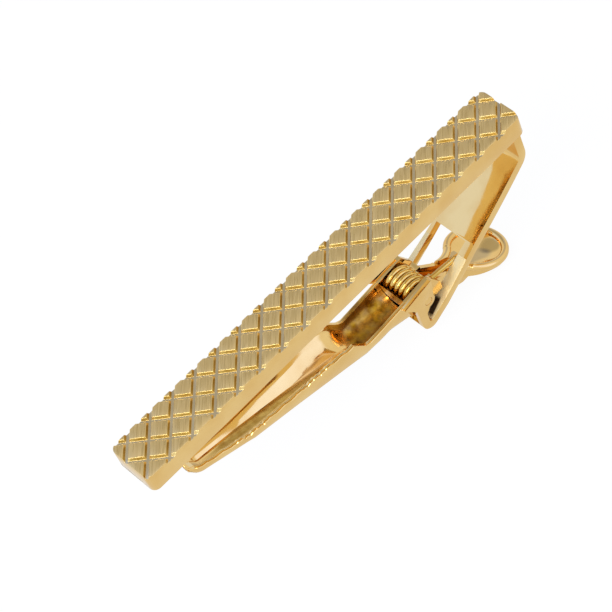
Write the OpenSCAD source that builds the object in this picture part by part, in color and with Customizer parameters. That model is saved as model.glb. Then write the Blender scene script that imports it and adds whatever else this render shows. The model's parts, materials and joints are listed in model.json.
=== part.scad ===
// Tie clip with a diamond-cut front bar, a bent back strap and a sprung clamp lever.
// Millimetres. X runs along the bar from its free end to the strap, Z points out of the
// decorated face, and the origin is the middle of that face.

/* [Front bar] */
// Length of the front bar
bar_len = 54.8; // [52:0.1:60]
// Width of the front bar
bar_w = 6; // [5.8:0.05:6.6]
// Thickness of the front bar
bar_t = 2.6; // [2.2:0.05:3]
// Radius of the bar's four upright corners
bar_corner_r = 0.85; // [0.4:0.05:1.5]
// Distance from groove to groove, square to them
groove_pitch = 2.285; // [1.8:0.005:3]
// Width of a groove at the face
groove_w = 0.58; // [0.4:0.01:0.8]
// Width of a groove's flat floor
groove_floor_w = 0.3; // [0.15:0.01:0.38]
// Depth of a groove
groove_depth = 0.36; // [0.2:0.01:0.5]
// First rising groove, as a share of the pitch along the bar
groove_rise_share = -0.164; // [-0.5:0.001:0.5]
// First falling groove, as a share of the pitch along the bar
groove_fall_share = 0.192; // [-0.5:0.001:0.5]

/* [Back strap] */
// Thickness of the strap's sheet
strap_t = 1; // [0.9:0.01:1.05]
// Distance from the bar's end to the strap's outer face
strap_inset = 0.85; // [0.6:0.05:1.2]
// Straight drop of the strap behind the bar
strap_drop = 2.4; // [2.2:0.05:3]
// Outer radius of the strap's bend
bend_r = 2.15; // [1.8:0.05:2.4]
// Turn of the strap's bend in degrees
bend_turn = 55; // [54:0.5:57]
// Length of the leg from the bend to its window
leg_len = 10.1; // [9:0.05:11]
// Turn of the gently curved leg in degrees
leg_turn = 10; // [9:0.5:11]
// Length of the leg's window
window_len = 6.4; // [6.3:0.05:6.6]
// Width of the leg's window
window_w = 4.4; // [4.3:0.05:4.5]
// Shift of the window toward the far side
window_shift = 0.36; // [0.32:0.01:0.4]
// Length of the leg below its window
foot_len = 2.6; // [2.5:0.05:2.7]
// Outer radius of the hairpin at the strap's foot
hairpin_r = 1.2; // [1.15:0.01:1.25]
// Straight rise behind the hairpin
heel_len = 1.23; // [1.15:0.01:1.3]
// Rise of the short leg above level, in degrees
short_rise = 50; // [48:0.5:52]
// Length of the short leg
short_len = 2.2; // [2.1:0.05:2.4]
// Width of the strap at its hairpin
heel_w = 6.7; // [6.6:0.05:7]
// Thickness of each hinge lug
lug_t = 0.65; // [0.55:0.01:0.7]
// Reach of each lug in front of the pin
lug_reach = 2.95; // [2.7:0.05:3.1]
// Rise of each lug above the pin's axis
lug_rise = 2.5; // [2.3:0.05:2.6]
// Radius of the metal round the pin in a lug
lug_r = 0.9; // [0.85:0.01:1]

/* [Hinge] */
// Distance along the short leg from the heel to the pin's axis
pin_place = 1.605; // [1.5:0.005:1.7]
// Diameter of the hinge pin
pin_d = 1; // [0.9:0.01:1.1]
// Radial clearance of the pin in the lugs
pin_fit = 0.01; // [0.005:0.001:0.02]
// Radial running clearance of the lever on the pin
pin_play = 0.04; // [0.03:0.001:0.05]

/* [Clamp lever] */
// Length of the jaw from the pin's axis to its tip
jaw_len = 31.6; // [28:0.1:32]
// Height of the jaw's rails at the tip above the pin's axis
jaw_rise = 5.3; // [5:0.05:5.5]
// Gap between each lug and the lever's wall
lug_gap = 0.25; // [0.2:0.01:0.3]
// Width of the jaw at its rounded tip
tip_w = 3.2; // [3:0.05:3.6]
// Thickness of the lever's sheet
lever_t = 0.55; // [0.5:0.01:0.6]
// Distance from tooth to tooth along the rails
tooth_pitch = 2.05; // [1.8:0.01:2.4]
// Radius of the round notch between two teeth
notch_r = 0.55; // [0.4:0.01:0.6]
// Depth of the notch between two teeth
notch_depth = 0.2; // [0.1:0.01:0.25]
// Depth of the upright lip inside the rails, above the jaw's trough
lip_depth = 0.35; // [0.3:0.01:0.4]
// Height of the lever's walls above the pin's axis, at their back end
wall_rise = 1.75; // [1.6:0.01:1.8]
// Radius of the lever's walls below the pin
ear_r = 1.55; // [1.4:0.01:1.6]
// Thickness of the web behind the spring
web_t = 0.6; // [0.5:0.01:0.65]
// Width of the tail where it passes the window
tail_w = 2.5; // [2.4:0.05:2.7]
// Run of the tail from the pin's axis to the tab's neck
tail_run = 4.5; // [4.4:0.05:4.6]
// Drop of the tail from the pin's axis to the tab's neck
tail_drop = 2.3; // [2.2:0.01:2.4]

/* [Finger tab] */
// Length of the finger tab
tab_len = 8.9; // [8.4:0.05:9.6]
// Width of the finger tab
tab_w = 7.2; // [6.6:0.05:7.4]
// Slope of the tab in degrees
tab_slope = 21; // [20:0.5:23]
// Radius of the flare between the tab's neck and its round end
flare_r = 3; // [2.6:0.05:3.4]
// Radius of the tab's rolled rim
rim_r = 0.45; // [0.35:0.01:0.5]
// Depth of the dish below the rim
dish_depth = 0.95; // [0.8:0.01:1.1]
// Radius of the dish across the tab
dish_r = 5.7; // [5.2:0.05:6.2]

/* [Spring] */
// Outer diameter of the spring's coil
coil_d = 3.75; // [3.6:0.01:3.8]
// Diameter of the spring's wire
wire_d = 0.46; // [0.44:0.01:0.46]
// Distance from curl to curl
curl_pitch = 0.87; // [0.865:0.005:0.9]
// Length of the spring's long leg beyond the lever's web
long_leg_len = 3.7; // [3:0.05:3.8]
// Length of the spring's short leg in the strap's hairpin
short_leg_len = 1.6; // [1.4:0.05:1.7]

/* [Hidden] */
$fn = 48;
overrun = 0.5;
side_gap = 0.15;
seat_gap = 0.06;

// Bar: the grooves cross the face at 45 degrees to its length
face_pitch = groove_pitch * sqrt(2);
groove_count = ceil((bar_len + bar_w) / face_pitch) + 1;
groove_reach = bar_w * sqrt(2) + overrun;

// Strap: its middle line is a row of straight and round stretches, from the bar to the lugs
bend_mid_r = bend_r - strap_t / 2;
heel_mid_r = hairpin_r - strap_t / 2;
leg_heading = -90 - bend_turn;
foot_heading = leg_heading - leg_turn;
hairpin_turn = foot_heading + 270;
heel_turn = 90 - short_rise;
leg_total = leg_len + window_len + foot_len;
strap_start = [bar_len / 2 - strap_inset - strap_t / 2, -bar_t];
strap_runs = [
    [strap_drop, 0, 1],
    [arc_len(bend_mid_r, bend_turn), -bend_turn, 8],
    [leg_len, -leg_turn * leg_len / leg_total, 5],
    [window_len, -leg_turn * window_len / leg_total, 4],
    [foot_len, -leg_turn * foot_len / leg_total, 1],
    [arc_len(heel_mid_r, hairpin_turn), -hairpin_turn, 12],
    [heel_len, 0, 1],
    [arc_len(heel_mid_r, heel_turn), -heel_turn, 6],
    [pin_place, 0, 1],
    [short_len - pin_place, 0, 1]
];
strap_line = trace(steps(strap_runs), strap_start, -90);
window_from = run_end(2);
window_to = run_end(3);
slot_from = run_end(5);
pin_mark = run_end(8);
pin_at = [strap_line[pin_mark].x, strap_line[pin_mark].y];

// Lugs: outline in front of the pin, as shares of the lug's reach and rise
lug_shares = [[0.41, 1], [0.37, 1.02], [-0.98, 0.7], [-1, 0.62], [-0.575, 0.02], [-0.575, -0.6]];
jaw_w = heel_w - 2 * (lug_t + lug_gap);
lug_pin_r = pin_d / 2 + pin_fit;
lever_pin_r = pin_d / 2 + pin_play;

// Jaw: rails and foot from the tip to the ears, as shares of its length and its rise
rail_shares = [[0.995, 0.89], [0.974, 1], [0.775, 0.832], [0.547, 0.664], [0.41, 0.585], [0.304, 0.475],
    [0.291, 0.4], [0.262, 0.19], [0.244, 0.136], [0.186, 0.164]];
foot_shares = [[1, 0.84], [0.983, 0.8], [0.787, 0.62], [0.57, 0.343], [0.435, 0.155], [0.332, 0.013],
    [0.27, -0.066], [0.2, -0.08], [0.153, -0.06], [0.111, -0.14], [0.05, -0.26]];
crease_shares = [[0.955, 0.86], [0.787, 0.69], [0.57, 0.41], [0.285, 0.03]];
rail_end = 5;
pocket_start = 6;
rail_from = share_point(rail_shares[1]);
rail_to = share_point(rail_shares[rail_end]);
rail_line = jaw_points(rail_shares);
crease_line = jaw_points(crease_shares);
tooth_count = floor(norm(rail_to - rail_from) / tooth_pitch);
taper_share = 0.8;
ball_share = 1.05;
rim_gap = 0.1;
tip_in_share = 0.3;
tip_out_share = 0.9;
small_place_share = 0.55;
small_notch_share = 0.55;
coil_space = coil_d / 2 + side_gap;
web_end = coil_space + web_t;
web_top = 0.15;
web_foot = 1.35;

// Tail and tab: side outlines, as shares of the tail's run and drop
tail_top_shares = [[0.43, -0.148], [0.58, -0.196], [0.95, -0.89], [1.664, -1.5]];
tail_foot_shares = [[1.6, -2.26], [1.29, -2.3], [1.02, -2.13], [0.6, -1.213], [0.43, -0.81]];
tab_r = tab_w / 2;
bulb_at = tab_len - tab_r;
flare_y = tail_w / 2 + flare_r;
flare_x = bulb_at - sqrt(pow(tab_r + flare_r, 2) - flare_y * flare_y);
flare_angle = atan2(flare_y, flare_x - bulb_at);

// Spring: a helix about the pin with a straight leg at each end
coil_r = (coil_d - wire_d) / 2;
wall_gap = jaw_w / 2 - lever_t;
coil_span = 2 * (wall_gap - wire_d / 2 - seat_gap);
long_leg_angle = 49;
short_leg_angle = 227;
leg_sweep = short_leg_angle - long_leg_angle;
coil_sweep = leg_sweep + 360 * floor(coil_span / curl_pitch - leg_sweep / 360);
long_leg_slope = 8.5;

function arc_len(r, turn) = PI * r * turn / 180;
function turn_of(arc, r) = 180 * arc / (PI * r);
function steps(runs) = [for (r = runs) for (k = [1:r[2]]) [r[0] / r[2], r[1] / r[2]]];
function heading(a) = [cos(a), sin(a)];
function trace(list, at, a, i = 0) = i >= len(list)
    ? [[at.x, at.y, a]]
    : concat([[at.x, at.y, a]],
        trace(list, at + list[i][0] * heading(a + list[i][1] / 2), a + list[i][1], i + 1));
function run_end(n) = n < 0 ? 0 : strap_runs[n][2] + run_end(n - 1);
function beside(line, off) = [for (p = line) [p.x, p.y] + off * heading(p[2] + 90)];
function back(list) = [for (i = [len(list) - 1:-1:0]) list[i]];
function part_of(line, from, to) = [for (i = [from:to]) line[i]];
function run_on(line) = let (p = line[len(line) - 1])
    concat(line, [[p.x + overrun * cos(p[2]), p.y + overrun * sin(p[2]), p[2]]]);
function band(line, t) = concat(beside(line, t / 2), back(beside(line, -t / 2)));
function share_point(s) = [-s.x * jaw_len, s.y * jaw_rise];
function jaw_points(list) = [for (s = list) share_point(s)];
function tail_points(list) = [for (s = list) [s.x * tail_run, s.y * tail_drop]];
function lifted(list, up) = [for (p = list) [p.x, p.y + up]];

// Turns a flat outline in X and Z into a solid of width w about the middle plane
module side(w) {
    rotate([90, 0, 0])
        linear_extrude(height = w, center = true)
            children();
}

module groove(angle, place) {
    translate([place, 0, 0])
        rotate([0, 0, angle])
            rotate([90, 0, 90])
                linear_extrude(height = 2 * groove_reach, center = true)
                    polygon([[-groove_floor_w / 2, -groove_depth], [groove_floor_w / 2, -groove_depth],
                        [groove_w / 2, 0], [groove_w / 2, overrun], [-groove_w / 2, overrun],
                        [-groove_w / 2, 0]]);
}

module bar_outline() {
    inner = [bar_len - 2 * bar_corner_r, bar_w - 2 * bar_corner_r];
    square([bar_len, inner.y], center = true);
    square([inner.x, bar_w], center = true);
    for (sx = [-1, 1])
        for (sy = [-1, 1])
            translate([sx * inner.x / 2, sy * inner.y / 2])
                circle(r = bar_corner_r);
}

module front_bar() {
    color("#c9a45c")
        difference() {
            translate([0, 0, -bar_t])
                linear_extrude(height = bar_t)
                    bar_outline();
            for (k = [0:groove_count]) {
                groove(45, face_pitch * (k + groove_rise_share) - bar_len / 2);
                groove(-45, face_pitch * (k + groove_fall_share) - bar_len / 2);
            }
        }
}

module strap_plan() {
    start = strap_line[0].x + strap_t;
    flare = strap_line[window_from].x;
    heel = strap_line[window_to].x;
    end = heel - lug_reach - 3 * hairpin_r;
    polygon([[start, -bar_w / 2], [start, bar_w / 2], [flare, bar_w / 2], [heel, heel_w / 2],
        [end, heel_w / 2], [end, -heel_w / 2], [heel, -heel_w / 2], [flare, -bar_w / 2]]);
}

module lug() {
    translate([pin_at.x, heel_w / 2 - lug_t / 2, pin_at.y])
        side(lug_t) {
            circle(r = lug_r);
            polygon(concat([for (s = lug_shares) [s.x * lug_reach, s.y * lug_rise]],
                [[lug_r * sin(short_rise), -lug_r * cos(short_rise)]]));
        }
}

module back_strap() {
    slot_w = heel_w - 2 * lug_t;
    height = 4 * (strap_drop + leg_total);
    color("#d8ad5e")
        difference() {
            union() {
                intersection() {
                    side(heel_w + overrun)
                        polygon(band(strap_line, strap_t));
                    translate([0, 0, -height / 2])
                        linear_extrude(height = height)
                            strap_plan();
                }
                lug();
                mirror([0, 1, 0])
                    lug();
            }
            translate([0, window_shift, 0])
                side(window_w)
                    polygon(band(part_of(strap_line, window_from, window_to), 2 * strap_t));
            side(slot_w)
                polygon(band(run_on(part_of(strap_line, slot_from, len(strap_line) - 1)), strap_t + overrun));
            translate([pin_at.x, 0, pin_at.y])
                rotate([90, 0, 0])
                    cylinder(r = lug_pin_r, h = heel_w + overrun, center = true);
        }
}

// Plan of the jaw from above, drawn in by inset
module jaw_plan(inset) {
    tip_r = tip_w / 2 - inset;
    tip = tip_w / 2 - jaw_len;
    start = [tip - tip_in_share * tip_r, tip_out_share * tip_r];
    taper = -jaw_len * taper_share;
    end = web_end + overrun;
    translate([tip, 0])
        circle(r = tip_r);
    polygon([[start.x, -start.y], [taper, inset - jaw_w / 2], [end, inset - jaw_w / 2],
        [end, jaw_w / 2 - inset], [taper, jaw_w / 2 - inset], start]);
}

module jaw_block(inset, low, high) {
    translate([0, 0, low])
        linear_extrude(height = high - low)
            jaw_plan(inset);
}

module jaw_side() {
    polygon(concat(rail_line, [[ear_r, wall_rise], [web_end, -web_top], [web_end, -web_foot],
        [ear_r / 2, -ear_r], [-ear_r / 2, -ear_r]], back(jaw_points(foot_shares))));
}

// Room inside the rails above their lips, then the pocket in front of the spring
module lip_side() {
    last = rail_line[rail_end];
    polygon(concat(lifted(part_of(rail_line, 0, rail_end), -lip_depth), [[last.x, 2 * jaw_rise],
        [-jaw_len, 2 * jaw_rise]]));
}

module pocket_side() {
    floor_line = lifted(jaw_points(part_of(foot_shares, pocket_start, len(foot_shares) - 1)), lever_t);
    crease_end = crease_line[len(crease_line) - 1];
    polygon(concat([[crease_end.x, 2 * jaw_rise], crease_end], floor_line,
        [[floor_line[len(floor_line) - 1].x, 2 * jaw_rise]]));
}

// One stretch of the jaw's V-shaped trough, above its crease
module trough(from, to) {
    run = to - from;
    mid = (from + to) / 2;
    depth = lookup(mid.x, rail_line) - mid.y - lip_depth;
    open = jaw_rise * wall_gap / depth;
    translate([from.x, 0, from.y])
        rotate([0, 90 - atan2(run.y, run.x), 0])
            linear_extrude(height = norm(run))
                polygon([[0, 0], [-jaw_rise, open], [-jaw_rise, -open]]);
}

module notch(place, share) {
    run = unit(rail_to - rail_from);
    at = rail_from + run * place;
    translate([at.x, 0, at.y + notch_r * share - notch_depth * share])
        rotate([90, 0, 0])
            cylinder(r = notch_r * share, h = jaw_w + overrun, center = true);
}

module tail_side(up) {
    polygon(lifted(tail_points(concat(tail_top_shares, tail_foot_shares)), up));
}

// Plan of the finger tab in its own slope: neck at zero, round end at tab_len
module tab_plan(inset) {
    touch = (tab_r - inset) * heading(flare_angle);
    translate([bulb_at, 0])
        circle(r = tab_r - inset);
    difference() {
        translate([0, -touch.y])
            square([bulb_at + touch.x, 2 * touch.y]);
        for (sy = [-1, 1])
            translate([flare_x, sy * flare_y])
                circle(r = flare_r + inset);
    }
}

// Inside or outside of the dished tab: a trough with a round end, up to the height top
module dish_half(r, from, top) {
    intersection() {
        translate([0, dish_r - dish_depth])
            circle(r = r, $fn = 96);
        translate([from, -2 * dish_r])
            square([tab_r - from, 2 * dish_r + top]);
    }
}

module dish(r, top) {
    rotate([90, 0, 90])
        linear_extrude(height = bulb_at)
            dish_half(r, -tab_r, top);
    translate([bulb_at, 0, 0])
        rotate([0, 0, -90])
            rotate_extrude(angle = 180)
                dish_half(r, 0, top);
}

module tab_block(inset) {
    translate([0, 0, -dish_r])
        linear_extrude(height = 2 * dish_r)
            tab_plan(inset);
}

module rim_arc(r, from, turn) {
    rotate([0, 0, from])
        rotate_extrude(angle = turn)
            translate([r, 0])
                circle(r = rim_r);
}

// Rim: a round end and two flares, each pair joined by a small ball
module rim() {
    end_r = tab_r - rim_r;
    side_r = flare_r + rim_r;
    end_turn = flare_angle - turn_of(rim_gap, end_r);
    side_turn = flare_angle - 90 - turn_of(rim_gap, side_r);
    joint = end_r * heading(flare_angle);
    translate([bulb_at, 0, 0])
        rim_arc(end_r, -end_turn, 2 * end_turn);
    translate([flare_x, flare_y, 0])
        rim_arc(side_r, -90, side_turn);
    translate([flare_x, -flare_y, 0])
        rim_arc(side_r, 90 - side_turn, side_turn);
    for (sy = [-1, 1])
        translate([bulb_at + joint.x, sy * joint.y, 0])
            sphere(r = rim_r * ball_share);
}

module finger_tab() {
    difference() {
        intersection() {
            dish(dish_r + lever_t, 0);
            tab_block(rim_r / 2);
        }
        intersection() {
            dish(dish_r, overrun);
            tab_block(rim_r / 2 + lever_t);
        }
    }
    rim();
}

module at_tab() {
    translate([tail_run, 0, -tail_drop])
        rotate([0, tab_slope, 0])
            children();
}

module lever_shape() {
    difference() {
        union() {
            difference() {
                intersection() {
                    side(jaw_w + overrun)
                        jaw_side();
                    jaw_block(0, -2 * jaw_rise, 2 * jaw_rise);
                }
                intersection() {
                    union() {
                        side(jaw_w + overrun) {
                            lip_side();
                            pocket_side();
                        }
                        for (i = [1:len(crease_line) - 1])
                            trough(crease_line[i - 1], crease_line[i]);
                    }
                    jaw_block(lever_t, -2 * jaw_rise, 3 * jaw_rise);
                }
                for (k = [0:tooth_count]) {
                    notch(k * tooth_pitch, 1);
                    notch((k + small_place_share) * tooth_pitch, small_notch_share);
                }
            }
            difference() {
                side(tail_w)
                    tail_side(0);
                at_tab()
                    translate([0, -tab_r, 0])
                        cube([tab_len, tab_w, tab_len]);
            }
            at_tab()
                finger_tab();
        }
        side(tail_w - 2 * lever_t) {
            tail_side(lever_t);
            translate([overrun, 0])
                tail_side(lever_t);
        }
        cube([2 * coil_space, 2 * wall_gap, 4 * jaw_rise], center = true);
        translate([0, -wall_gap, web_level])
            cube([web_end + overrun, 2 * wall_gap, 2 * jaw_rise]);
        rotate([90, 0, 0])
            cylinder(r = lever_pin_r, h = jaw_w + overrun, center = true);
    }
}

module lever() {
    color("#d9a94f")
        translate([pin_at.x, 0, pin_at.y])
            lever_shape();
}

module hinge_pin() {
    color("#b98a3e")
        translate([pin_at.x, 0, pin_at.y])
            rotate([90, 0, 0])
                cylinder(d = pin_d, h = heel_w, center = true);
}

// Spring: middle line in the pin's frame, then a tube of six sides swept along it
curl_count = coil_sweep / 360;
coil_rings = ceil(curl_count * 8);
coil_half = curl_count * curl_pitch / 2;
coil_line = [for (i = [0:coil_rings]) coil_point(long_leg_angle + coil_sweep * i / coil_rings)
    + [0, coil_half * (2 * i / coil_rings - 1), 0]];
bend_run = (coil_space + web_t / 2 - coil_r * cos(long_leg_angle)) / sin(long_leg_angle);
leg_bend = coil_line[0] + bend_run * leg_dir(long_leg_angle);
web_level = leg_bend.z - wire_d / 2 - 2 * seat_gap;
leg_tip = leg_bend + long_leg_len * [cos(long_leg_slope), 0, -sin(long_leg_slope)];
spring_line = concat(
    [leg_tip],
    [leg_bend + wire_d * unit(leg_tip - leg_bend)],
    [leg_bend - wire_d * leg_dir(long_leg_angle)],
    coil_line,
    [coil_line[coil_rings] - short_leg_len * leg_dir(short_leg_angle)]);

function coil_point(a) = [coil_r * cos(a), 0, coil_r * sin(a)];
function leg_dir(a) = [sin(a), 0, -cos(a)];
function unit(v) = v / norm(v);
function run_dir(line, i) = unit(line[min(i + 1, len(line) - 1)] - line[max(i - 1, 0)]);
function ring(line, i) = let (
    d = run_dir(line, i),
    u = unit(cross(d, [0, 1, 0.001])),
    v = cross(d, u))
    [for (k = [0:5]) line[i] + wire_d / 2 * (cos(60 * k) * u + sin(60 * k) * v)];
function tube_points(line) = [for (i = [0:len(line) - 1]) for (p = ring(line, i)) p];
function tube_faces(n) = concat(
    [for (k = [1:4]) [0, k, k + 1]],
    [for (i = [0:n - 2]) for (k = [0:5]) [6 * i + k, 6 * i + 6 + k, 6 * i + (k + 1) % 6]],
    [for (i = [0:n - 2]) for (k = [0:5]) [6 * i + (k + 1) % 6, 6 * i + 6 + k, 6 * i + 6 + (k + 1) % 6]],
    [for (k = [1:4]) [6 * n - 6, 6 * n - 6 + k + 1, 6 * n - 6 + k]]);

// Least gap of the wire to itself: points at least half a curl apart, less one wire
spring_gap = min([for (i = [0:coil_rings]) for (j = [i + 4:1:coil_rings])
    norm(coil_line[i] - coil_line[j])]) - wire_d;
echo(spring_gap = spring_gap);

module torsion_spring() {
    color("#b0823a")
        translate([pin_at.x, 0, pin_at.y])
            polyhedron(points = tube_points(spring_line), faces = tube_faces(len(spring_line)));
}

front_bar();
back_strap();
lever();
hinge_pin();
torsion_spring();
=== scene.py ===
# %% [markdown]
# # A gold tie clip, dressed in Blender
# The clip is five real pieces: a diamond-cut front bar, a bent strap behind it, a clamp lever,
# the pin that the lever turns on, and a wound spring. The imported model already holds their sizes
# and places. This script gives each piece its fine edges and its finish, and it draws the jaw and
# the wire of the spring anew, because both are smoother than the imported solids.

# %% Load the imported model
import json
import math

import bmesh
import bpy
from mathutils import Matrix, Vector

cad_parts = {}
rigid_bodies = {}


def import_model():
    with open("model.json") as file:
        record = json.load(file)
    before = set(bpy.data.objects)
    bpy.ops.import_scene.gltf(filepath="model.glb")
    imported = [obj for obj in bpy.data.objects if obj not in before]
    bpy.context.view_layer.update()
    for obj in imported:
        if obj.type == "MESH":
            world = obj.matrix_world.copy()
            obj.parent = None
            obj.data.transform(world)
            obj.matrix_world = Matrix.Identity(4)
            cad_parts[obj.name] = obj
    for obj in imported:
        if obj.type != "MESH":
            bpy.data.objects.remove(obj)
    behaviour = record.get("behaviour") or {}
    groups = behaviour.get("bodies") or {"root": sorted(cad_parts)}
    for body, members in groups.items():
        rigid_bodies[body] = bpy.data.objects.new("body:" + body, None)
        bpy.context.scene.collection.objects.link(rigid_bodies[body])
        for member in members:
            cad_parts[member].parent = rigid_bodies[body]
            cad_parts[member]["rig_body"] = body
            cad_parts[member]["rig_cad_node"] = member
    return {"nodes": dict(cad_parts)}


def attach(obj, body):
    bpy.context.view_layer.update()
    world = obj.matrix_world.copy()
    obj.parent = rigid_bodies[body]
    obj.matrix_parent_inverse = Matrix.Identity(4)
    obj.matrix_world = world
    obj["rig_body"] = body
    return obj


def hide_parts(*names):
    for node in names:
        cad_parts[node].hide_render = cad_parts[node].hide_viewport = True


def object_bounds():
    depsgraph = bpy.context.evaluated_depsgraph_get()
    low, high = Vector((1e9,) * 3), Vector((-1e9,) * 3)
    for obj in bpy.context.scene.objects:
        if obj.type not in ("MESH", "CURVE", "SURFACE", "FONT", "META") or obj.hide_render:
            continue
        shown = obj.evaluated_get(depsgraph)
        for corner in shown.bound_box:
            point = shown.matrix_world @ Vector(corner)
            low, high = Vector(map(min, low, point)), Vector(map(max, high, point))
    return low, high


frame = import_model()
MM = 0.001
scene = bpy.context.scene
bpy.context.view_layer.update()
print("pieces:", sorted(frame["nodes"]))

# %% [markdown]
# ## The camera
# The photograph looks down on the clip from the left with a long lens, rolled so that the bar
# climbs from the lower left to the upper right. The camera is written as its place and its three
# axes: right, up and back towards the viewer. Three axes say the roll plainly, where three angles
# would hide it.

# %% Place the camera
CAMERA_AT = Vector((-72.98, -167.48, 241.75)) * MM
CAMERA_RIGHT = Vector((0.69656, -0.66926, -0.25862))
CAMERA_UP = Vector((0.67898, 0.49835, 0.53911))
CAMERA_BACK = Vector((-0.23192, -0.55112, 0.80155))
LENS_MM = 173.9
SENSOR_MM = 36
NEAREST = 0.01
FARTHEST = 10

bpy.ops.object.camera_add()
camera = bpy.context.object
turn = Matrix((CAMERA_RIGHT, CAMERA_UP, CAMERA_BACK)).transposed()
camera.matrix_world = Matrix.Translation(CAMERA_AT) @ turn.to_4x4()
camera.data.lens = LENS_MM
camera.data.sensor_width = SENSOR_MM
camera.data.clip_start = NEAREST
camera.data.clip_end = FARTHEST
scene.camera = camera
print("camera distance in mm:", round(CAMERA_AT.length / MM, 1))

# %% [markdown]
# ## Helpers for the shapes
# An operator works on all that is selected, so each step starts by selecting one object alone.
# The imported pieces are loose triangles. A copy is merged, its flat faces are joined again, and
# then a bevel can find the real edges.

# %% Select one object alone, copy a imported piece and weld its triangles
MERGE = 1e-6
FLAT_ANGLE = math.radians(0.4)


def only(obj):
    """Makes obj the one selected and active object."""
    bpy.ops.object.select_all(action="DESELECT")
    obj.hide_viewport = False
    obj.select_set(True)
    bpy.context.view_layer.objects.active = obj
    return obj


def welded_copy(node, name):
    """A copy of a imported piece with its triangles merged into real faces."""
    only(frame["nodes"][node])
    bpy.ops.object.duplicate()
    piece = bpy.context.object
    piece.name = name
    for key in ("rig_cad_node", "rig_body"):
        if key in piece:
            del piece[key]
    piece.parent = None
    piece.data.materials.clear()
    only(piece)
    bpy.ops.object.mode_set(mode="EDIT")
    bpy.ops.mesh.select_all(action="SELECT")
    bpy.ops.mesh.remove_doubles(threshold=MERGE)
    bpy.ops.mesh.dissolve_limited(angle_limit=FLAT_ANGLE)
    bpy.ops.object.mode_set(mode="OBJECT")
    return piece


print("points closer than", round(MERGE / MM, 4), "mm are merged")

# %% Round the sharp edges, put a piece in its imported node's place
EDGE_ANGLE = math.radians(28)
EDGE_SEGMENTS = 3


def bevelled(piece, width):
    """Rounds the sharp edges of a piece by width, in metres, and shades it smooth."""
    only(piece)
    bevel = piece.modifiers.new("edges", "BEVEL")
    bevel.width = width
    bevel.segments = EDGE_SEGMENTS
    bevel.limit_method = "ANGLE"
    bevel.angle_limit = EDGE_ANGLE
    bevel.use_clamp_overlap = True
    bevel.harden_normals = False
    bpy.ops.object.modifier_apply(modifier=bevel.name)
    bpy.ops.object.shade_smooth_by_angle(angle=EDGE_ANGLE)
    print(piece.name, "has", len(piece.data.polygons), "faces")
    return piece


def seat(piece, body, node):
    """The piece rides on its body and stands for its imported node."""
    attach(piece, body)
    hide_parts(node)
    return piece


print("edges sharper than", round(math.degrees(EDGE_ANGLE)), "degrees are rounded")

# %% [markdown]
# ## Helpers for the finishes
# A finish is a small network of nodes. Each node takes numbers or the results of other nodes, so
# one helper feeds a socket with either, and the others make one kind of node each. The networks
# below then read like sums.

# %% Feed a socket, add a sum on numbers or on vectors
MIX_FROM = 6
MIX_TO = 7


def feed(tree, socket, value):
    """Links a socket to another one's result, or sets it to a plain value."""
    if isinstance(value, bpy.types.NodeSocket):
        tree.links.new(value, socket)
    else:
        socket.default_value = value


def math_of(tree, operation, *values):
    """One sum on numbers."""
    node = tree.nodes.new("ShaderNodeMath")
    node.operation = operation
    for socket, value in zip(node.inputs, values):
        feed(tree, socket, value)
    return node.outputs[0]


def vector_of(tree, operation, *values, result="Vector"):
    """One sum on vectors, with a vector or a number as its result."""
    node = tree.nodes.new("ShaderNodeVectorMath")
    node.operation = operation
    for socket, value in zip(node.inputs, values):
        feed(tree, socket, value)
    return node.outputs[result]


def soft_step(tree, value, start, full, top=1.0):
    """0 at start and top at full, with a smooth step between."""
    node = tree.nodes.new("ShaderNodeMapRange")
    node.interpolation_type = "SMOOTHSTEP"
    node.inputs["From Min"].default_value = start
    node.inputs["From Max"].default_value = full
    node.inputs["To Max"].default_value = top
    feed(tree, node.inputs["Value"], value)
    return node.outputs[0]


def stain(tree, shader, amount, colour):
    """Blends the colour of a shader into another one. A colour mix has its colours in sockets 6 and 7."""
    blend = tree.nodes.new("ShaderNodeMix")
    blend.data_type = "RGBA"
    feed(tree, blend.inputs["Factor"], amount)
    feed(tree, blend.inputs[MIX_FROM], shader.inputs["Base Color"].links[0].from_socket)
    feed(tree, blend.inputs[MIX_TO], colour)
    tree.links.new(blend.outputs[2], shader.inputs["Base Color"])


print("sockets of a colour mix that take its colours:", MIX_FROM, MIX_TO)

# %% [markdown]
# ## Gold finishes
# Plated metal is a mirror with a colour. What makes it look real is small: the colour drifts a
# little, the polish is uneven, and fine ripples cross it. These come from noise on object
# coordinates, so the pattern stays on the piece wherever it moves.

# %% Noise, spread over a range, or raised as a relief
def new_material(name):
    """An empty metal finish and its shader."""
    material = bpy.data.materials.new(name)
    material.use_nodes = True
    nodes = material.node_tree.nodes
    nodes.clear()
    output = nodes.new("ShaderNodeOutputMaterial")
    shader = nodes.new("ShaderNodeBsdfPrincipled")
    shader.inputs["Metallic"].default_value = 1
    material.node_tree.links.new(shader.outputs[0], output.inputs[0])
    return material, shader


def noise(tree, scale, stretch=(1, 1, 1), turn=(0, 0, 0), detail=3):
    """Noise on object coordinates, in features per metre, drawn out by stretch and then turned."""
    coords = tree.nodes.new("ShaderNodeTexCoord")
    mapping = tree.nodes.new("ShaderNodeMapping")
    mapping.vector_type = "TEXTURE"
    mapping.inputs["Rotation"].default_value = turn
    mapping.inputs["Scale"].default_value = stretch
    texture = tree.nodes.new("ShaderNodeTexNoise")
    texture.inputs["Scale"].default_value = scale
    texture.inputs["Detail"].default_value = detail
    tree.links.new(coords.outputs["Object"], mapping.inputs["Vector"])
    tree.links.new(mapping.outputs[0], texture.inputs["Vector"])
    return texture.outputs[0]


NOISE_LOW = 0.35
NOISE_HIGH = 0.65


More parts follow.
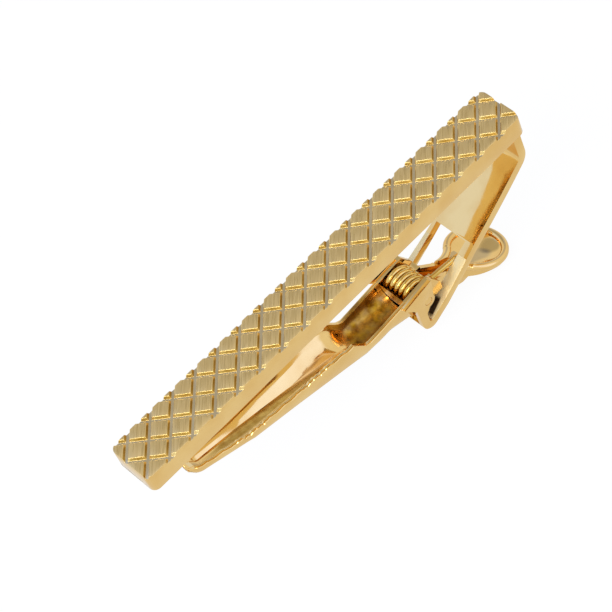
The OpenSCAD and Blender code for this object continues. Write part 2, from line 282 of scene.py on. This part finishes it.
def spread(tree, value, low, high):
    """Spreads the middle of a noise over a range of numbers or of colours."""
    if isinstance(low, tuple):
        node = tree.nodes.new("ShaderNodeValToRGB")
        for stop, place, colour in zip(node.color_ramp.elements, (NOISE_LOW, NOISE_HIGH), (low, high)):
            stop.position = place
            stop.color = (*colour, 1)
    else:
        node = tree.nodes.new("ShaderNodeMapRange")
        node.inputs["From Min"].default_value = NOISE_LOW
        node.inputs["From Max"].default_value = NOISE_HIGH
        node.inputs["To Min"].default_value = low
        node.inputs["To Max"].default_value = high
    tree.links.new(value, node.inputs[0])
    return node.outputs[0]


def relief(tree, shader, value, height):
    """Adds a relief of the given height, in metres, to a shader."""
    node = tree.nodes.new("ShaderNodeBump")
    node.inputs["Distance"].default_value = height
    node.inputs["Strength"].default_value = 1
    tree.links.new(value, node.inputs["Height"])
    tree.links.new(node.outputs[0], shader.inputs["Normal"])


print("noise is spread between", NOISE_LOW, "and", NOISE_HIGH)

# %% A polished gold that drifts, scuffs and ripples
GOLD = (0.86, 0.60, 0.235)
DEEP_GOLD = (0.80, 0.52, 0.18)
DRIFT_FINENESS = 260
POLISH_FINENESS = 1500
POLISH_STRETCH = (4, 1, 1)
RIPPLE_FINENESS = 900


def polished_gold(name, light=GOLD, deep=DEEP_GOLD, smooth=0.05, dull=0.13, ripple=2e-6):
    """Gold between two shades, with a roughness between smooth and dull, and a ripple in metres."""
    material, shader = new_material(name)
    tree = material.node_tree
    tree.links.new(spread(tree, noise(tree, DRIFT_FINENESS), light, deep), shader.inputs["Base Color"])
    polish = noise(tree, POLISH_FINENESS, stretch=POLISH_STRETCH)
    tree.links.new(spread(tree, polish, smooth, dull), shader.inputs["Roughness"])
    relief(tree, shader, noise(tree, RIPPLE_FINENESS), ripple)
    return material


bar_polish = polished_gold("bar_polished_sides")
strap_polish = polished_gold("strap_polished_gold")
lever_polish = polished_gold("lever_polished_gold", smooth=0.06, dull=0.16, ripple=3e-6)
pin_polish = polished_gold("pin_gold")
wire_polish = polished_gold("wire_gold", light=(0.80, 0.56, 0.17), deep=(0.62, 0.40, 0.09))
print("finishes:", [m.name for m in bpy.data.materials])

# %% [markdown]
# ### Painted shade in the pocket
# In the deep pocket in front of the spring the shade is painted in as a blotchy brown, and the
# near wall of the trough has a little painted shade too. A ball of brown, pulled long where needed,
# fades out towards its skin, and noise breaks it up.

# %% Paint shade into the pocket and onto the near wall of the trough
BALL_CORE = 0.75
BLOTCH_FINENESS = 900
SHADE_FINENESS = 1100
BLOTCH_DETAIL = 4
THINNEST = 0.8
BROWN_ROUGHNESS = 0.3
POCKET_AT = Vector((3.4, 0.2, -12.2)) * MM
POCKET_R = 4.0 * MM
POCKET_STRETCH = Vector((1, 1.5, 1))
POCKET_SHADE_BROWNS = ((0.20, 0.075, 0.001), (0.52, 0.27, 0.015))
WALL_AT = Vector((-12.5, -1.0, -9.9)) * MM
WALL_R = 0.98 * MM
WALL_STRETCH = Vector((0.085, 1, 0.28))
WALL_SHADE_BROWNS = ((0.46, 0.24, 0.03), (0.66, 0.42, 0.09))


def paint_brown_shade(material, centre, radius, stretch, shade_browns):
    """Paints a mottled brown shade into a finish inside a ball that is squeezed by stretch."""
    tree = material.node_tree
    shader = tree.nodes["Principled BSDF"]
    place = tree.nodes.new("ShaderNodeTexCoord").outputs["Object"]
    squeezed = vector_of(tree, "MULTIPLY", place, stretch)
    far = vector_of(tree, "DISTANCE", squeezed, centre * stretch, result="Value")
    ball = soft_step(tree, far, radius, radius * BALL_CORE)
    blotches = spread(tree, noise(tree, BLOTCH_FINENESS, detail=BLOTCH_DETAIL), THINNEST, 1.0)
    amount = math_of(tree, "MULTIPLY", ball, blotches)
    stain(tree, shader, amount, spread(tree, noise(tree, SHADE_FINENESS, detail=BLOTCH_DETAIL), *shade_browns))
    polish = shader.inputs["Roughness"].links[0].from_socket
    dulled = math_of(tree, "MULTIPLY_ADD", amount, BROWN_ROUGHNESS, polish)
    tree.links.new(dulled, shader.inputs["Roughness"])


# Painted shade: the brown stands in for the shade deep in the pocket and on the near wall of the trough.
paint_brown_shade(lever_polish, POCKET_AT, POCKET_R, POCKET_STRETCH, POCKET_SHADE_BROWNS)
paint_brown_shade(lever_polish, WALL_AT, WALL_R, WALL_STRETCH, WALL_SHADE_BROWNS)
print("browned ball in the pocket, radius in mm:", round(POCKET_R / MM, 2))

# %% [markdown]
# ### Satin fold, with painted light
# The inner side of the strap's hairpin is satin, and its paler colour is a painted reflection of
# the bright room. A dark line of painted shadow sits in the fold beside the lug.

# %% A satin recess with a painted reflection and a painted shadow line
RECESS_METAL = 0.5
LINE_AT = Vector((9.85, -2.60, -14.91)) * MM
LINE_HALF = Vector((1.184, 0.202, 0.629)) * MM
LINE_WIDTH = 0.45 * MM
LINE_CORE = 0.6
LINE_SHADOW = (0.03, 0.014, 0.003, 1)


def painted_shadow_line(material, middle, half, width, dark):
    """Paints a shadow into a finish within width of a line, for half a length to each side of its middle.
    """
    tree = material.node_tree
    place = tree.nodes.new("ShaderNodeTexCoord").outputs["Object"]
    offset = vector_of(tree, "SUBTRACT", place, middle)
    heading = half.normalized()
    aside = vector_of(tree, "LENGTH", vector_of(tree, "CROSS_PRODUCT", offset, heading), result="Value")
    ahead = math_of(tree, "ABSOLUTE", vector_of(tree, "DOT_PRODUCT", offset, heading, result="Value"))
    across = soft_step(tree, aside, width, width * LINE_CORE)
    along_it = soft_step(tree, ahead, half.length, half.length * LINE_CORE)
    stain(tree, tree.nodes["Principled BSDF"], math_of(tree, "MULTIPLY", across, along_it), dark)


# The satin's paler, creamier colour is a painted reflection of the bright room.
satin_painted_light = polished_gold("strap_satin_painted_light", light=(0.84, 0.69, 0.36), deep=(0.76, 0.60, 0.29),
                             smooth=0.38, dull=0.48)
satin_painted_light.node_tree.nodes["Principled BSDF"].inputs["Metallic"].default_value = RECESS_METAL
# The dark line is painted shadow in the fold beside the lug.
painted_shadow_line(satin_painted_light, LINE_AT, LINE_HALF, LINE_WIDTH, LINE_SHADOW)
print("dark line in mm:", round(2 * LINE_HALF.length / MM, 2))

# %% [markdown]
# ### Diamond-cut face
# The diamonds were brushed with a fine belt before they were cut, so their tops are satin, with a
# grain that runs along one family of the cuts. Their walls, cut by a diamond tool, carry painted
# light: a painted highlight on one side and painted shade on the other. The floors of the cuts are a
# greyer mirror, and the back of the bar is painted a paler gold, so that the polished strap shows a
# painted pale reflection of it.

# %% Brushed tops, cut walls and groove floors
BRUSH_TURN = math.radians(44.5)
BRUSH_FINENESS = 6500
BRUSH_STRETCH = (18, 1, 1)
BRUSH_DETAIL = 2
BRUSH_DEPTH = 3e-7
CUT_RIPPLE = 4e-7
BRUSHED_SHADES = ((0.79, 0.565, 0.235), (0.88, 0.645, 0.29))
BRUSHED_ROUGHNESS = (0.26, 0.36)

top_brushed, shader = new_material("diamond_tops_brushed")
tree = top_brushed.node_tree
grain = noise(tree, BRUSH_FINENESS, stretch=BRUSH_STRETCH, turn=(0, 0, BRUSH_TURN), detail=BRUSH_DETAIL)
tree.links.new(spread(tree, grain, *BRUSHED_SHADES), shader.inputs["Base Color"])
tree.links.new(spread(tree, grain, *BRUSHED_ROUGHNESS), shader.inputs["Roughness"])
relief(tree, shader, grain, BRUSH_DEPTH)

# Lit and shaded copies of one cut finish: a painted highlight and a painted shade.
wall_painted_highlight = polished_gold("groove_wall_painted_highlight", light=(0.94, 0.73, 0.32), deep=(0.90, 0.66, 0.25),
                         smooth=0.12, dull=0.2, ripple=CUT_RIPPLE)
wall_painted_shade = polished_gold("groove_wall_painted_shade", light=(0.60, 0.38, 0.11), deep=(0.50, 0.30, 0.07),
                          smooth=0.12, dull=0.2, ripple=CUT_RIPPLE)
floor_mirror = polished_gold("groove_floor_grey", light=(0.80, 0.66, 0.42), deep=(0.70, 0.57, 0.36),
                             smooth=0.14, dull=0.25)
# The paler back is painted light, seen only as a brighter reflection in the polished strap.
rear_of_bar_painted_light = polished_gold("rear_of_bar_painted_light_pale_gold", light=(0.99, 0.83, 0.47), deep=(0.95, 0.76, 0.40),
                         smooth=0.08, dull=0.16)
print("all finishes:", [m.name for m in bpy.data.materials])

# %% [markdown]
# ## The front bar
# The bar is a solid block whose face is crossed by two families of cuts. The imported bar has
# these cuts at their real place, so modelling them again would gain nothing. Its copy gets a fine
# bevel, because a real cut edge is never perfectly sharp, and each face takes its finish by where
# it lies and where it points.

# %% Bevel the bar and give each face its finish
BAR_EDGE = 0.095 * MM
TOP_LEVEL = -0.012 * MM
FLOOR_LEVEL = -0.3 * MM
WALL_LEVEL = -0.6 * MM
DEEPEST_CUT = -1 * MM
LEVEL_FACE = 0.99
WALL_LEAN = 0.1
WALL_UP = 0.05
SHADED_LEAN = 0.3
SHADED_UP = 0.8
BAR_FINISHES = (bar_polish, top_brushed, floor_mirror, wall_painted_highlight, wall_painted_shade, rear_of_bar_painted_light)
SIDE, TOP, FLOOR, BRIGHT, SHADED, BACK = range(len(BAR_FINISHES))


def bar_finish(face):
    """The finish of one face of the bar, by its level and its direction."""
    level, points = face.center.z, face.normal
    if points.z < -LEVEL_FACE:
        return BACK
    if points.z > LEVEL_FACE and level > TOP_LEVEL:
        return TOP
    if points.z > LEVEL_FACE and DEEPEST_CUT < level < FLOOR_LEVEL:
        return FLOOR
    # Walls turned away take the painted shade, the other walls the painted highlight.
    if level > WALL_LEVEL and abs(points.x) > WALL_LEAN and points.z > WALL_UP:
        turned_away = points.x > SHADED_LEAN > points.y and points.z < SHADED_UP
        return SHADED if turned_away else BRIGHT
    return SIDE


bar = bevelled(welded_copy("front_bar", "diamond_cut_bar"), BAR_EDGE)
for finish in BAR_FINISHES:
    bar.data.materials.append(finish)
counts = [0] * len(BAR_FINISHES)
for face in bar.data.polygons:
    face.material_index = bar_finish(face)
    counts[face.material_index] += 1
seat(bar, "clip_frame", "front_bar")
print("faces of the sides, tops, floors, bright walls, shaded walls and back:", counts)

# %% [markdown]
# ## The back strap
# One strip of sheet, bent behind the bar. Its edges are tumbled, so a soft bevel suits them. The
# faces inside the hairpin get the satin finish, with its painted reflection and painted shadow line.

# %% Bevel the strap and find the faces of its recess
STRAP_EDGE = 0.1 * MM
RECESS_TOP = -12.0 * MM
RECESS_FROM = 9.6 * MM
RECESS_TO = 14.5 * MM
RECESS_LEAN = -0.2
SIDEWAYS = 0.3

strap = bevelled(welded_copy("back_strap", "bent_back_strap"), STRAP_EDGE)
strap.data.materials.append(strap_polish)
# The recess takes the satin with its painted reflection and painted shadow line.
strap.data.materials.append(satin_painted_light)
recess = [face for face in strap.data.polygons
          if face.center.z < RECESS_TOP and RECESS_FROM < face.center.x < RECESS_TO
          and face.normal.x < RECESS_LEAN and abs(face.normal.y) < SIDEWAYS]
for face in recess:
    face.material_index = 1
seat(strap, "clip_frame", "back_strap")
print("faces in the recess:", len(recess))

# %% [markdown]
# ## The jaw
# The lever is pressed from thin sheet. Its jaw is a long trough: a V between two nibbled rails,
# which opens into a round pocket in front of the spring. A trough whose shape changes all along is
# hard to cut from a block. It is drawn as a row of cross sections, each extruded from the one
# before, and then its points are moved to their places.

# %% Heights of the rail and of the foot along the jaw
PIN_AT = Vector((9.0242, 0, -12.3456))
JAW_LEN = 31.6
# Each pair is a share of the jaw's length, from the tip to the pin, and a height above the pin.
RAIL = [(1.0, 4.5), (0.995, 4.72), (0.985, 5.1), (0.974, 5.28), (0.775, 4.41), (0.547, 3.52),
        (0.41, 3.1), (0.304, 2.52), (0.291, 2.12), (0.262, 1.0), (0.244, 0.72), (0.186, 0.87), (0.0, 1.53)]
FOOT = [(1.0, 4.45), (0.983, 4.24), (0.787, 3.286), (0.57, 1.818), (0.435, 0.82), (0.332, 0.07),
        (0.27, -0.35), (0.2, -0.42), (0.153, -0.32), (0.111, -0.74), (0.05, -1.38)]


def height_at(table, share):
    """Reads a table of (share of the jaw's length, height) at a share."""
    if share >= table[0][0]:
        return table[0][1]
    for (s1, z1), (s2, z2) in zip(table, table[1:]):
        if share >= s2:
            return z2 + (z1 - z2) * (share - s2) / (s1 - s2)
    return table[-1][1]


def ease(value, low, high):
    """0 below low, 1 above high, a smooth step between."""
    t = min(1, max(0, (value - low) / (high - low)))
    return t * t * (3 - 2 * t)


print("rail above the pin at half length, mm:", round(height_at(RAIL, 0.5), 2))

# %% [markdown]
# The rails are nibbled: a punch has bitten the edge at an even pitch, so that the jaw grips cloth.
# The walls of the trough flare in two slopes along the jaw, and turn into a round bowl in the
# pocket.

# %% The nibbled edge and the shape of the wall
NIBBLE_START = (9.4, 10.4)
NIBBLE_END = (30.0, 30.8)
NIBBLE_PITCH = 2.05
BROAD_BITE = 0.08
SMALL_BITE = 0.07
SMALL_RATE = 3.3
SMALL_SHIFT = 0.8
FLARE = 0.72


def nibble(reach):
    """Depth of the nibbled edge at a distance from the pin: a broad bite and small ones."""
    on = ease(reach, *NIBBLE_START) * (1 - ease(reach, *NIBBLE_END))
    turn = -2 * math.pi * reach / NIBBLE_PITCH
    broad = BROAD_BITE * (1 + math.cos(turn))
    small = SMALL_BITE * (1 + math.cos(SMALL_RATE * turn + SMALL_SHIFT))
    return on * (broad + small)


def wall_height(u, pocket, bend):
    """Height of the trough's wall at a share of its half width: a flared V, or a round bowl."""
    flared = FLARE * u / bend if u < bend else FLARE + (1 - FLARE) * (u - bend) / (1 - bend)
    bowl = 1 - math.sqrt(max(0, 1 - u * u))
    return flared * (1 - pocket) + bowl * pocket


print("deepest bite in mm:", 2 * (BROAD_BITE + SMALL_BITE))

# %% Sizes of one section, in mm
JAW_HALF = 2.45
TIP_HALF = 1.6
TAPER_FROM = 0.8
TIP_BLUNT = 0.02
WALL = 0.55
NARROWEST = 0.1
POCKET_FADE = (7.8, 11.5)
TIP_CLOSE = (30.0, 31.0)
KEEL = 0.75
KEEL_RISE = (2.2, 4.5)
BEND_SHARE = 0.62
BEND_SHIFT = 0.2
BEND_RUN = (12, 26)
CREASE_OVER_FOOT = 0.28
TIP_DIP = 0.02
LIP_DROP = 0.3
LIP_DROP_IN_POCKET = 0.15
WALL_STOPS = [0.05, 0.2, 0.4, 0.56, 0.66, 0.78, 0.9, 0.97, 1.0]
# Steps out from the inner wall, or from the outer one, and up from the top of the rail.
RIM_INSIDE = [(0.04, -0.05), (0.12, 0)]
RIM_OUTSIDE = [(-0.12, 0), (-0.02, -0.06), (0, -0.18)]
# Steps out from the outer wall and up from the foot, and a share of the keel's depth.
UNDERSIDE = [(0, 0.3, 0), (-0.12, 0.08, 0.1), (-0.45, 0, 0.3)]
print("width of the jaw and of its tip:", 2 * JAW_HALF, 2 * TIP_HALF)


# %% Points of one section
def half_width(reach):
    """Half the jaw's width: even, then tapered, then a round tip."""
    tip_from = JAW_LEN - TIP_HALF
    if reach > tip_from:
        return math.sqrt(max(TIP_BLUNT, TIP_HALF ** 2 - (reach - tip_from) ** 2))
    taper = (reach / tip_from - TAPER_FROM) / (1 - TAPER_FROM)
    return min(JAW_HALF, JAW_HALF + (TIP_HALF - JAW_HALF) * taper)


def section(reach):
    """Points of the section at a distance from the pin: crease, far side, foot, near side."""
    half = half_width(reach)
    rail = height_at(RAIL, reach / JAW_LEN)
    foot = height_at(FOOT, reach / JAW_LEN)
    top = rail - nibble(reach)
    pocket = 1 - ease(reach, *POCKET_FADE)
    closed = ease(reach, *TIP_CLOSE)
    keel = KEEL * pocket * ease(reach, *KEEL_RISE)
    inner = max(NARROWEST, half - WALL)
    bend = BEND_SHARE - BEND_SHIFT * ease(reach, *BEND_RUN)
    deepest = foot + CREASE_OVER_FOOT - keel
    crease = deepest + (rail - TIP_DIP - deepest) * closed
    lip = rail - LIP_DROP * (1 - closed) - LIP_DROP_IN_POCKET * pocket
    side = [(inner * u, crease + (lip - crease) * wall_height(u, pocket, bend)) for u in WALL_STOPS]
    side += [(inner + y, top + z) for y, z in RIM_INSIDE]
    side += [(half + y, top + z) for y, z in RIM_OUTSIDE]
    side += [(half + y, foot + z - share * keel) for y, z, share in UNDERSIDE]
    side = [(min(y, half), z) for y, z in side]
    return [(0, crease)] + side + [(0, foot - keel)] + [(-y, z) for y, z in reversed(side)]


print("points in a section:", len(section(JAW_LEN / 2)))

# %% [markdown]
# The sections lie close together where the shape turns fast, in the pocket and at the tip, and at
# an even step between, fine enough for the nibbled edge.

# %% Places of the sections, in mm from the pin
POCKET_PLACES = [2.1, 2.6, 3.2, 3.8, 4.4, 5.0, 5.6, 6.2, 6.8,
                 7.3, 7.7, 8.0, 8.3, 8.6, 8.9, 9.2, 9.4, 9.6]
TIP_PLACES = [30.3, 30.6, 30.85, 31.05, 31.25, 31.4, 31.5, 31.57]
EVEN_FROM = 9.9
EVEN_STEP = 0.3
EVEN_COUNT = 68

places = POCKET_PLACES + [EVEN_FROM + EVEN_STEP * step for step in range(EVEN_COUNT)] + TIP_PLACES
jaw_rows = [[(PIN_AT + Vector((-reach, y, z))) * MM for y, z in section(reach)] for reach in places]
count = len(jaw_rows[0])
print("sections:", len(jaw_rows), "from", places[0], "to", places[-1], "mm")

# %% [markdown]
# The jaw starts as one flat disc with as many points as a section has. Each round selects the
# end face, extrudes it, and moves every new point to its own place in the next section.

# %% Extrude the jaw section by section
JAW_SMOOTH = math.radians(40)

bpy.ops.object.select_all(action="DESELECT")
bpy.ops.mesh.primitive_circle_add(vertices=count, radius=MM, fill_type="NGON")
jaw = bpy.context.object
jaw.name = "pressed_jaw"
bpy.ops.object.mode_set(mode="EDIT")
edit = bmesh.from_edit_mesh(jaw.data)
edit.verts.ensure_lookup_table()
ring = list(edit.verts)
for number, row in enumerate(jaw_rows):
    if number:
        bpy.ops.mesh.select_all(action="DESELECT")
        edit = bmesh.from_edit_mesh(jaw.data)
        edit.faces.ensure_lookup_table()
        end = next(f for f in edit.faces if all(v in ring for v in f.verts) and len(f.verts) == count)
        end.select_set(True)
        bmesh.update_edit_mesh(jaw.data)
        step = Vector((row[0].x - jaw_rows[number - 1][0].x, 0, 0))
        before = [v.co.copy() for v in ring]
        bpy.ops.mesh.extrude_region_move(TRANSFORM_OT_translate={"value": step})
        edit = bmesh.from_edit_mesh(jaw.data)
        fresh = [v for v in edit.verts if v.select]
        ring = []
        for old in before:
            spot = old + step
            best = min(fresh, key=lambda v: (v.co - spot).length)
            ring.append(best)
            fresh.remove(best)
    for vertex, target in zip(ring, row):
        bpy.ops.mesh.select_all(action="DESELECT")
        vertex.select_set(True)
        bpy.ops.transform.translate(value=target - vertex.co)
bpy.ops.mesh.select_all(action="SELECT")
bpy.ops.mesh.normals_make_consistent(inside=False)
bpy.ops.object.mode_set(mode="OBJECT")
bpy.ops.object.shade_smooth_by_angle(angle=JAW_SMOOTH)
jaw.data.materials.append(lever_polish)
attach(jaw, "clamp_lever")
print("jaw faces:", len(jaw.data.polygons))

# %% [markdown]
# ## The rest of the lever
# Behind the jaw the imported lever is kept: the walls round the coil, the web, the tail that
# passes the strap's window, and the dished tab. Its own jaw is cut away where the new one starts.

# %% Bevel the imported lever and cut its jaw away
LEVER_EDGE = 0.07 * MM

lever = bevelled(welded_copy("lever", "clamp_lever_pressing"), LEVER_EDGE)
only(lever)
bpy.ops.object.mode_set(mode="EDIT")
bpy.ops.mesh.select_all(action="SELECT")
bpy.ops.mesh.bisect(plane_co=jaw_rows[0][0], plane_no=(1, 0, 0), clear_inner=True, use_fill=True)
bpy.ops.object.mode_set(mode="OBJECT")
bpy.ops.object.shade_smooth_by_angle(angle=EDGE_ANGLE)
lever.data.materials.append(lever_polish)
seat(lever, "clamp_lever", "lever")
print("faces left behind the jaw:", len(lever.data.polygons))

# %% [markdown]
# ## The hinge pin
# A plain turned pin, with its ends flush with the lugs. Only its edges need care.

# %% Bevel the pin
PIN_EDGE = 0.08 * MM

pin = bevelled(welded_copy("hinge_pin", "hinge_pin_turned"), PIN_EDGE)
pin.data.materials.append(pin_polish)
seat(pin, "clip_frame", "hinge_pin")

# %% [markdown]
# ## The spring
# The wire is a ring of points turned round the pin and pushed along it at the same time, which
# is what the screw modifier does. Both ends are then drawn out straight: the long leg rests on
# the lever's web, and the short one stands in the strap's hairpin.

# %% Wind the spring, with its sizes in mm and its angles in degrees
WIRE_R = 0.31
WIRE_SIDES = 20
COIL_R = 1.565
LONG_ANGLE = 49
SHORT_ANGLE = 227
FULL_TURN = 360
WHOLE_CURLS = 4
CURLS = WHOLE_CURLS + (SHORT_ANGLE - LONG_ANGLE) / FULL_TURN
CURL_PITCH = 0.675
CURL_STEPS = 40

bpy.ops.object.select_all(action="DESELECT")
bpy.ops.mesh.primitive_circle_add(vertices=WIRE_SIDES, radius=WIRE_R * MM)
spring = bpy.context.object
spring.name = "wound_spring"
bpy.ops.object.mode_set(mode="EDIT")
bpy.ops.mesh.select_all(action="SELECT")
bpy.ops.transform.translate(value=(COIL_R * MM, -CURLS * CURL_PITCH / 2 * MM, 0))
bpy.ops.transform.rotate(value=math.radians(LONG_ANGLE), orient_axis="Y", center_override=(0, 0, 0))
bpy.ops.object.mode_set(mode="OBJECT")
screw = spring.modifiers.new("wind", "SCREW")
screw.axis = "Y"
screw.angle = -math.radians(FULL_TURN * CURLS)
screw.screw_offset = CURLS * CURL_PITCH * MM
screw.steps = round(CURLS * CURL_STEPS)
screw.render_steps = screw.steps
bpy.ops.object.modifier_apply(modifier=screw.name)
print("curls:", round(CURLS, 2), "faces:", len(spring.data.polygons))

# %% [markdown]
# The two open rings at the ends of the wire are told apart by the side of the clip that they lie
# on. The long leg makes two small bends before it runs straight.

# %% Draw out the legs
# Each run is a step in mm and the turn of the ring before it in degrees.
LONG_RUNS = [((1.1, 0, -0.96), 0), ((0.22, 0, -0.1), 20), ((3.5, 0, -0.52), 20)]
SHORT_RUNS = [((1.13, 0, -1.05), 0)]
WIRE_SMOOTH = math.radians(50)


def select_end(near):
    """Selects the open ring of the wire on the near side of the clip, or on the far side."""
    bpy.ops.mesh.select_all(action="DESELECT")
    mesh = bmesh.from_edit_mesh(spring.data)
    for edge in mesh.edges:
        if edge.is_boundary and (sum(v.co.y for v in edge.verts) < 0) == near:
            edge.select_set(True)
    bmesh.update_edit_mesh(spring.data)


def draw_out(near, runs):
    """Extrudes the ring at one end along straight runs, each turned to its own heading."""
    select_end(near)
    for run, turn in runs:
        if turn:
            mesh = bmesh.from_edit_mesh(spring.data)
            ring = [v.co for v in mesh.verts if v.select]
            middle = sum(ring, Vector()) / len(ring)
            bpy.ops.transform.rotate(value=math.radians(turn), orient_axis="Y", center_override=middle)
        bpy.ops.mesh.extrude_region_move(TRANSFORM_OT_translate={"value": Vector(run) * MM})
    bpy.ops.mesh.edge_face_add()


bpy.ops.object.mode_set(mode="EDIT")
draw_out(True, LONG_RUNS)
draw_out(False, SHORT_RUNS)
bpy.ops.mesh.select_all(action="SELECT")
bpy.ops.transform.translate(value=PIN_AT * MM)
bpy.ops.mesh.normals_make_consistent(inside=False)
bpy.ops.object.mode_set(mode="OBJECT")
bpy.ops.object.shade_smooth_by_angle(angle=WIRE_SMOOTH)
spring.data.materials.append(wire_polish)
seat(spring, "clamp_lever", "torsion_spring")
print("spring with its legs, size in mm:", [round(v / MM, 2) for v in spring.dimensions])

# %% [markdown]
# ## The floor
# Polished metal shows what stands round it, so the studio matters as much as the finish. The
# floor is pale and plain. To the camera it glows nearly white, but a mirror sees it a little
# dimmer, so that the bright flanks of the clip keep their colour.

# %% A pale floor that keeps the shadow
FLOOR_SIZE = 3
FLOOR_COLOUR = (0.86, 0.86, 0.86, 1)
WHITE = (1, 1, 1, 1)
GLOW_SHARE = 0.95
MIRROR_DIM = -0.16

low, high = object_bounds()
bpy.ops.mesh.primitive_plane_add(size=FLOOR_SIZE, location=(0, 0, low.z))
floor = bpy.context.object
floor.name = "studio_floor"
material = bpy.data.materials.new("pale_floor")
material.use_nodes = True
tree = material.node_tree
tree.nodes.clear()
output = tree.nodes.new("ShaderNodeOutputMaterial")
path = tree.nodes.new("ShaderNodeLightPath")
matt = tree.nodes.new("ShaderNodeBsdfDiffuse")
matt.inputs["Color"].default_value = FLOOR_COLOUR
glow = tree.nodes.new("ShaderNodeEmission")
glow.inputs["Color"].default_value = WHITE
mirror = path.outputs["Is Glossy Ray"]
seen = math_of(tree, "MAXIMUM", path.outputs["Is Camera Ray"], mirror)
mix = tree.nodes.new("ShaderNodeMixShader")
feed(tree, mix.inputs[0], math_of(tree, "MULTIPLY", seen, GLOW_SHARE))
feed(tree, glow.inputs["Strength"], math_of(tree, "MULTIPLY_ADD", mirror, MIRROR_DIM, 1))
feed(tree, mix.inputs[1], matt.outputs[0])
feed(tree, mix.inputs[2], glow.outputs[0])
feed(tree, output.inputs[0], mix.outputs[0])
floor.data.materials.append(material)
print("floor at z in mm:", round(low.z / MM, 2))

# %% [markdown]
# ## The room
# The room is an even pale light. Two soft boxes, one towards the viewer and one behind on the
# left, add light to it, and two dim cards, one high behind the clip and one behind on the right,
# take light away. They fall on the brushed face and the strap as soft tones. The boxes are bluish,
# because a gold mirror swallows blue, and what is left then looks pale.

# %% Soft boxes and dim cards
ROOM = (0.92, 0.92, 0.92)
GREY = (1, 1, 1)
# Where a patch lies, how well a direction has to match for its edge and its core, and its light.
PATCHES = [((0.25, 0.60, 0.76), 0.88, 0.965, -0.43, GREY),
           ((0.23, -0.72, 0.65), 0.82, 0.94, 1.0, (0.25, 0.42, 1.25)),
           ((0.71, 0.55, 0.43), 0.92, 0.98, -0.33, (1, 0.9, 0.4)),
           ((-0.50, 0.55, 0.65), 0.82, 0.94, 1.0, (-0.04, 0.1, 0.55))]


def patch(tree, sky, towards, edge, core, strength, colour):
    """A soft round patch of light, or of dark, in the direction towards."""
    heading = Vector(towards).normalized()
    facing = vector_of(tree, "DOT_PRODUCT", sky, heading, result="Value")
    node = tree.nodes.new("ShaderNodeVectorMath")
    node.operation = "SCALE"
    feed(tree, node.inputs[0], colour)
    feed(tree, node.inputs["Scale"], soft_step(tree, facing, edge, core, strength))
    return node.outputs[0]


world = bpy.data.worlds.new("studio")
scene.world = world
world.use_nodes = True
tree = world.node_tree
tree.nodes.clear()
sky = tree.nodes.new("ShaderNodeTexCoord").outputs["Generated"]
room = ROOM
for card in PATCHES:
    room = vector_of(tree, "ADD", room, patch(tree, sky, *card))
light = tree.nodes.new("ShaderNodeBackground")
white = tree.nodes.new("ShaderNodeBackground")
mix = tree.nodes.new("ShaderNodeMixShader")
path = tree.nodes.new("ShaderNodeLightPath")
output = tree.nodes.new("ShaderNodeOutputWorld")
feed(tree, light.inputs[0], room)
feed(tree, white.inputs[0], WHITE)
feed(tree, mix.inputs[0], path.outputs["Is Camera Ray"])
feed(tree, mix.inputs[1], light.outputs[0])
feed(tree, mix.inputs[2], white.outputs[0])
feed(tree, output.inputs[0], mix.outputs[0])
scene.view_settings.view_transform = "Standard"
print("patches in the room:", len(PATCHES))

# %% [markdown]
# ## The lamp
# One broad lamp, on the left and well above the clip, gives the floor its soft shadow and the curls
# of the spring a highlight.

# %% One broad lamp
LAMP_AT = (-0.25, -0.1, 0.3)
LAMP_SIZE = 0.25
LAMP_WATTS = 1.2

bpy.ops.object.light_add(type="AREA", location=LAMP_AT)
lamp = bpy.context.object
lamp.data.size = LAMP_SIZE
lamp.data.energy = LAMP_WATTS
lamp.rotation_euler = Vector(LAMP_AT).to_track_quat("Z", "Y").to_euler()
print("lamp distance in metres:", round(Vector(LAMP_AT).length, 2))
